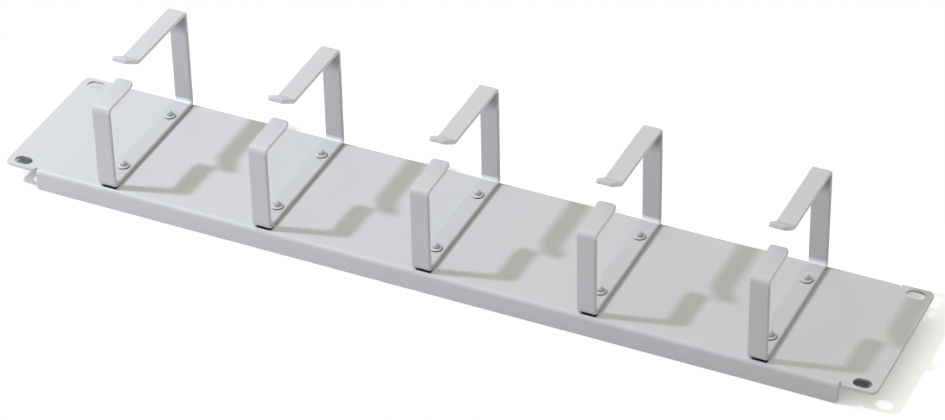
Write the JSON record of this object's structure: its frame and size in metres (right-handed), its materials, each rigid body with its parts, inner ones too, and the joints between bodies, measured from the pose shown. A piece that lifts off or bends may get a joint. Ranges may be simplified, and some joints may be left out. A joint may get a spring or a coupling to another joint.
{
  "type": "rack cable management panel",
  "caption": "Folded steel rack panel, two units high, with a row of open rings bent from flat strip and riveted to its face, to carry cables along the rack.",
  "frame": {"origin": "centre of the panel, on the plane that the folded edges rest on", "axes": "+X along the panel, +Y across it from the short legs of the rings to the tall ones, +Z out of the front face, the way the rings stand"},
  "size_m": [0.4826, 0.0882, 0.0787],
  "materials": {
    "panel_coat": "light grey powder coat, satin, fine texture",
    "ring_coat": "light grey powder coat, satin, fine texture",
    "rivet_coat": "light grey powder coat over the rivet heads and the stubs of their pins"
  },
  "bodies": {
    "root": {"panel": "panel_coat", "cable_ring_1": "ring_coat", "cable_ring_2": "ring_coat", "cable_ring_3": "ring_coat", "cable_ring_4": "ring_coat", "cable_ring_5": "ring_coat", "rivets": "rivet_coat"}
  },
  "joints": []
}
